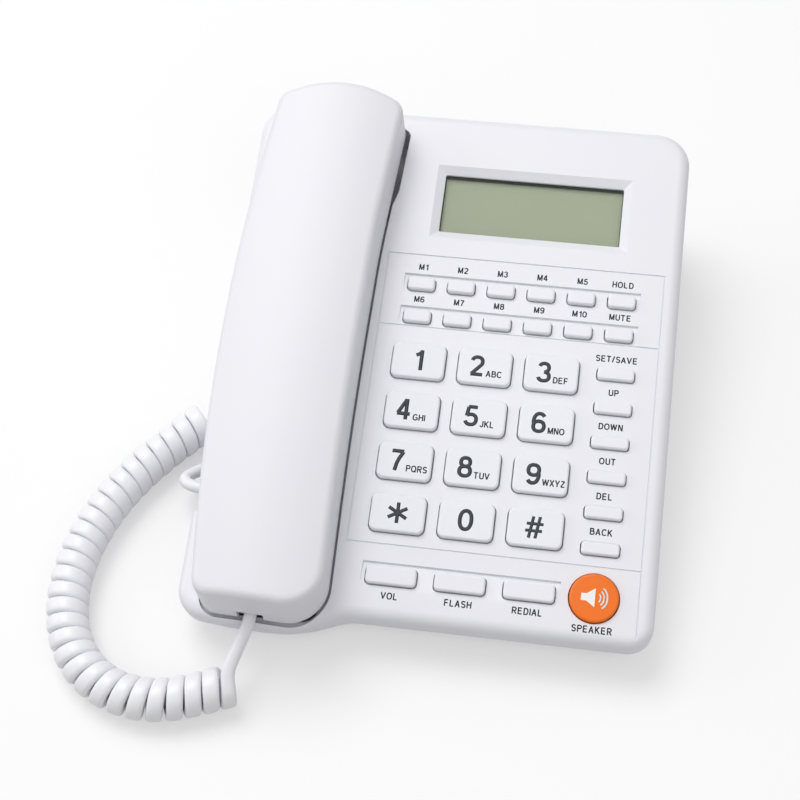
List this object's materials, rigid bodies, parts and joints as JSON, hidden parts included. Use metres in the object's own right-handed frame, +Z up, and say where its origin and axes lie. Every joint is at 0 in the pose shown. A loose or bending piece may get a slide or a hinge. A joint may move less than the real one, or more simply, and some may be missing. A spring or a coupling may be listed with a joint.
{
  "type": "corded desk telephone",
  "caption": "Push-button desk telephone: sloped base with display and key fields, handset lying in a cradle on the left, curly cord between handset and side jack.",
  "frame": {"origin": "centre of the base and handset's bounding box, at the table the feet stand on", "axes": "+Z up, +Y towards the display end, +X towards the side keys; the handset lies along -X"},
  "size_m": [0.2021, 0.2237, 0.0791],
  "materials": {
    "housing": "smooth off-white moulded plastic with a satin gloss",
    "handset": "smooth off-white moulded plastic with a soft gloss",
    "dial_key": "white satin key plastic with printed characters",
    "small_key": "white satin key plastic",
    "orange_key": "orange satin key plastic with a white loudspeaker sign",
    "window": "clear acrylic",
    "panel": "grey-green reflective display",
    "mat_rubber": "grey silicone",
    "board": "green lacquered board",
    "spring_steel": "bright spring wire",
    "plunger": "white acetal",
    "speaker_metal": "black lacquered basket and magnet",
    "cell_can": "printed steel can",
    "foot_rubber": "dark soft rubber",
    "screw_steel": "zinc-plated steel",
    "jack_plastic": "white moulded jack",
    "plug_plastic": "translucent white plug",
    "cord": "white flexible cord jacket",
    "capsule": "black capsule"
  },
  "bodies": {
    "base": {"top_housing": "housing", "bottom_housing": "housing", "display_window": "window", "display_panel": "panel", "key_mat": "mat_rubber", "circuit_board": "board", "hook_spring": "spring_steel", "loudspeaker": "speaker_metal", "battery_cells": "cell_can", "rubber_feet": "foot_rubber", "base_screws": "screw_steel", "base_handset_jack": "jack_plastic", "line_jack": "jack_plastic", "plug_base": "plug_plastic", "cord_lead_base": "cord", "curly_cord": "cord", "cord_lead_handset": "cord"},
    "handset": {"handset_outer_shell": "handset", "handset_inner_shell": "handset", "earpiece_capsule": "capsule", "microphone_capsule": "capsule", "handset_jack": "jack_plastic", "handset_screws": "screw_steel", "plug_handset": "plug_plastic"},
    "hook": {"hook_plunger": "plunger"},
    "battery_door": {"battery_door": "housing"},
    "key_1": {"key_1": "dial_key"},
    "key_2": {"key_2": "dial_key"},
    "key_3": {"key_3": "dial_key"},
    "key_4": {"key_4": "dial_key"},
    "key_5": {"key_5": "dial_key"},
    "key_6": {"key_6": "dial_key"},
    "key_7": {"key_7": "dial_key"},
    "key_8": {"key_8": "dial_key"},
    "key_9": {"key_9": "dial_key"},
    "key_star": {"key_star": "dial_key"},
    "key_0": {"key_0": "dial_key"},
    "key_hash": {"key_hash": "dial_key"},
    "function_key_1": {"function_key_1": "small_key"},
    "function_key_2": {"function_key_2": "small_key"},
    "function_key_3": {"function_key_3": "small_key"},
    "function_key_4": {"function_key_4": "small_key"},
    "function_key_5": {"function_key_5": "small_key"},
    "function_key_6": {"function_key_6": "small_key"},
    "function_key_7": {"function_key_7": "small_key"},
    "function_key_8": {"function_key_8": "small_key"},
    "function_key_9": {"function_key_9": "small_key"},
    "function_key_10": {"function_key_10": "small_key"},
    "function_key_11": {"function_key_11": "small_key"},
    "function_key_12": {"function_key_12": "small_key"},
    "side_key_1": {"side_key_1": "small_key"},
    "side_key_2": {"side_key_2": "small_key"},
    "side_key_3": {"side_key_3": "small_key"},
    "side_key_4": {"side_key_4": "small_key"},
    "side_key_5": {"side_key_5": "small_key"},
    "side_key_6": {"side_key_6": "small_key"},
    "lower_key_1": {"lower_key_1": "small_key"},
    "lower_key_2": {"lower_key_2": "small_key"},
    "lower_key_3": {"lower_key_3": "small_key"},
    "speaker_key": {"speaker_key": "orange_key"}
  },
  "joints": [
    {"name": "handset_lift", "type": "slide", "parent": "base", "child": "handset", "axis": [0, -0.2079, 0.9781], "range_m": [0, 0.09], "deforming": ["cord_lead_handset"]},
    {"name": "hook_rise", "type": "slide", "parent": "base", "child": "hook", "axis": [0, -0.2079, 0.9781], "range_m": [0, 0.0045], "deforming": ["hook_spring"]},
    {"name": "battery_door_slide", "type": "slide", "parent": "base", "child": "battery_door", "axis": [0, 1, 0], "range_m": [0, 0.005]},
    {"name": "key_1_press", "type": "slide", "parent": "base", "child": "key_1", "axis": [0, -0.2079, 0.9781], "range_m": [-0.0015, 0], "stiffness_N_per_m": 200},
    {"name": "key_2_press", "type": "slide", "parent": "base", "child": "key_2", "axis": [0, -0.2079, 0.9781], "range_m": [-0.0015, 0], "stiffness_N_per_m": 200},
    {"name": "key_3_press", "type": "slide", "parent": "base", "child": "key_3", "axis": [0, -0.2079, 0.9781], "range_m": [-0.0015, 0], "stiffness_N_per_m": 200},
    {"name": "key_4_press", "type": "slide", "parent": "base", "child": "key_4", "axis": [0, -0.2079, 0.9781], "range_m": [-0.0015, 0], "stiffness_N_per_m": 200},
    {"name": "key_5_press", "type": "slide", "parent": "base", "child": "key_5", "axis": [0, -0.2079, 0.9781], "range_m": [-0.0015, 0], "stiffness_N_per_m": 200},
    {"name": "key_6_press", "type": "slide", "parent": "base", "child": "key_6", "axis": [0, -0.2079, 0.9781], "range_m": [-0.0015, 0], "stiffness_N_per_m": 200},
    {"name": "key_7_press", "type": "slide", "parent": "base", "child": "key_7", "axis": [0, -0.2079, 0.9781], "range_m": [-0.0015, 0], "stiffness_N_per_m": 200},
    {"name": "key_8_press", "type": "slide", "parent": "base", "child": "key_8", "axis": [0, -0.2079, 0.9781], "range_m": [-0.0015, 0], "stiffness_N_per_m": 200},
    {"name": "key_9_press", "type": "slide", "parent": "base", "child": "key_9", "axis": [0, -0.2079, 0.9781], "range_m": [-0.0015, 0], "stiffness_N_per_m": 200},
    {"name": "key_star_press", "type": "slide", "parent": "base", "child": "key_star", "axis": [0, -0.2079, 0.9781], "range_m": [-0.0015, 0], "stiffness_N_per_m": 200},
    {"name": "key_0_press", "type": "slide", "parent": "base", "child": "key_0", "axis": [0, -0.2079, 0.9781], "range_m": [-0.0015, 0], "stiffness_N_per_m": 200},
    {"name": "key_hash_press", "type": "slide", "parent": "base", "child": "key_hash", "axis": [0, -0.2079, 0.9781], "range_m": [-0.0015, 0], "stiffness_N_per_m": 200},
    {"name": "function_key_1_press", "type": "slide", "parent": "base", "child": "function_key_1", "axis": [0, -0.2079, 0.9781], "range_m": [-0.0015, 0], "stiffness_N_per_m": 200},
    {"name": "function_key_2_press", "type": "slide", "parent": "base", "child": "function_key_2", "axis": [0, -0.2079, 0.9781], "range_m": [-0.0015, 0], "stiffness_N_per_m": 200},
    {"name": "function_key_3_press", "type": "slide", "parent": "base", "child": "function_key_3", "axis": [0, -0.2079, 0.9781], "range_m": [-0.0015, 0], "stiffness_N_per_m": 200},
    {"name": "function_key_4_press", "type": "slide", "parent": "base", "child": "function_key_4", "axis": [0, -0.2079, 0.9781], "range_m": [-0.0015, 0], "stiffness_N_per_m": 200},
    {"name": "function_key_5_press", "type": "slide", "parent": "base", "child": "function_key_5", "axis": [0, -0.2079, 0.9781], "range_m": [-0.0015, 0], "stiffness_N_per_m": 200},
    {"name": "function_key_6_press", "type": "slide", "parent": "base", "child": "function_key_6", "axis": [0, -0.2079, 0.9781], "range_m": [-0.0015, 0], "stiffness_N_per_m": 200},
    {"name": "function_key_7_press", "type": "slide", "parent": "base", "child": "function_key_7", "axis": [0, -0.2079, 0.9781], "range_m": [-0.0015, 0], "stiffness_N_per_m": 200},
    {"name": "function_key_8_press", "type": "slide", "parent": "base", "child": "function_key_8", "axis": [0, -0.2079, 0.9781], "range_m": [-0.0015, 0], "stiffness_N_per_m": 200},
    {"name": "function_key_9_press", "type": "slide", "parent": "base", "child": "function_key_9", "axis": [0, -0.2079, 0.9781], "range_m": [-0.0015, 0], "stiffness_N_per_m": 200},
    {"name": "function_key_10_press", "type": "slide", "parent": "base", "child": "function_key_10", "axis": [0, -0.2079, 0.9781], "range_m": [-0.0015, 0], "stiffness_N_per_m": 200},
    {"name": "function_key_11_press", "type": "slide", "parent": "base", "child": "function_key_11", "axis": [0, -0.2079, 0.9781], "range_m": [-0.0015, 0], "stiffness_N_per_m": 200},
    {"name": "function_key_12_press", "type": "slide", "parent": "base", "child": "function_key_12", "axis": [0, -0.2079, 0.9781], "range_m": [-0.0015, 0], "stiffness_N_per_m": 200},
    {"name": "side_key_1_press", "type": "slide", "parent": "base", "child": "side_key_1", "axis": [0, -0.2079, 0.9781], "range_m": [-0.0015, 0], "stiffness_N_per_m": 200},
    {"name": "side_key_2_press", "type": "slide", "parent": "base", "child": "side_key_2", "axis": [0, -0.2079, 0.9781], "range_m": [-0.0015, 0], "stiffness_N_per_m": 200},
    {"name": "side_key_3_press", "type": "slide", "parent": "base", "child": "side_key_3", "axis": [0, -0.2079, 0.9781], "range_m": [-0.0015, 0], "stiffness_N_per_m": 200},
    {"name": "side_key_4_press", "type": "slide", "parent": "base", "child": "side_key_4", "axis": [0, -0.2079, 0.9781], "range_m": [-0.0015, 0], "stiffness_N_per_m": 200},
    {"name": "side_key_5_press", "type": "slide", "parent": "base", "child": "side_key_5", "axis": [0, -0.2079, 0.9781], "range_m": [-0.0015, 0], "stiffness_N_per_m": 200},
    {"name": "side_key_6_press", "type": "slide", "parent": "base", "child": "side_key_6", "axis": [0, -0.2079, 0.9781], "range_m": [-0.0015, 0], "stiffness_N_per_m": 200},
    {"name": "lower_key_1_press", "type": "slide", "parent": "base", "child": "lower_key_1", "axis": [0, -0.2079, 0.9781], "range_m": [-0.0015, 0], "stiffness_N_per_m": 200},
    {"name": "lower_key_2_press", "type": "slide", "parent": "base", "child": "lower_key_2", "axis": [0, -0.2079, 0.9781], "range_m": [-0.0015, 0], "stiffness_N_per_m": 200},
    {"name": "lower_key_3_press", "type": "slide", "parent": "base", "child": "lower_key_3", "axis": [0, -0.2079, 0.9781], "range_m": [-0.0015, 0], "stiffness_N_per_m": 200},
    {"name": "speaker_key_press", "type": "slide", "parent": "base", "child": "speaker_key", "axis": [0, -0.2079, 0.9781], "range_m": [-0.0015, 0], "stiffness_N_per_m": 200}
  ],
  "couplings": [
    {"joint": "hook_rise", "follows": "handset_lift", "ratio": 0.05}
  ]
}
